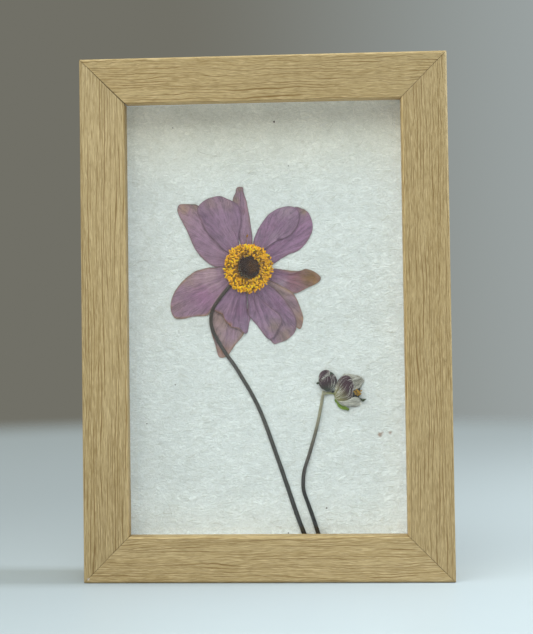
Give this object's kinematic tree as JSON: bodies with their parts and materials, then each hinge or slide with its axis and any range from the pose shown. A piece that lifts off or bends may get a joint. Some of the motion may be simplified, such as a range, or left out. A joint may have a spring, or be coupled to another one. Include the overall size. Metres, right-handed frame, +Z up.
{
  "type": "pressed flower frame",
  "caption": "Free-standing picture frame with an oak finish, holding a pressed anemone and its bud stem on handmade paper behind glass.",
  "frame": {"origin": "the middle of the frame's footprint, on the surface that it stands on", "axes": "+Z up; -Y is the way the glass faces; +X is to the right of someone who looks at the flower"},
  "size_m": [0.12, 0.022, 0.171],
  "materials": {
    "oak": "satin oak, grain along each rail",
    "glass": "clear and polished",
    "card": "matt card",
    "handmade_paper": "soft, fibrous and crinkled",
    "hardboard": "brown hardboard",
    "steel": "zinc-plated",
    "petal": "dry, matt and veined",
    "stamen": "dry pollen",
    "carpel": "rough and dry",
    "stem": "dry, fine ribs along the stem",
    "bud": "silky with fine white hairs",
    "leaf": "dry and matt"
  },
  "bodies": {
    "root": {"rail_top": "oak", "rail_bottom": "oak", "rail_left": "oak", "rail_right": "oak", "glass_pane": "glass", "spacer_top": "card", "spacer_bottom": "card", "spacer_left": "card", "spacer_right": "card", "paper_sheet": "handmade_paper", "backing_board": "hardboard", "glazing_point_top": "steel", "glazing_point_bottom": "steel", "glazing_point_left_1": "steel", "glazing_point_left_2": "steel", "glazing_point_right_1": "steel", "glazing_point_right_2": "steel", "petal_upper_left_back": "petal", "petal_upper_left_front": "petal", "petal_top": "petal", "petal_upper_right_front": "petal", "petal_upper_right_back": "petal", "petal_right": "petal", "petal_lower_right_back": "petal", "petal_lower_right_middle": "petal", "petal_lower_right_front": "petal", "petal_bottom_front": "petal", "petal_bottom_back": "petal", "petal_left": "petal", "stamens": "stamen", "flower_centre": "carpel", "flower_stem": "stem", "bud_stem": "stem", "bud_small": "bud", "bud_large": "bud", "bud_bract": "leaf"}
  },
  "joints": []
}
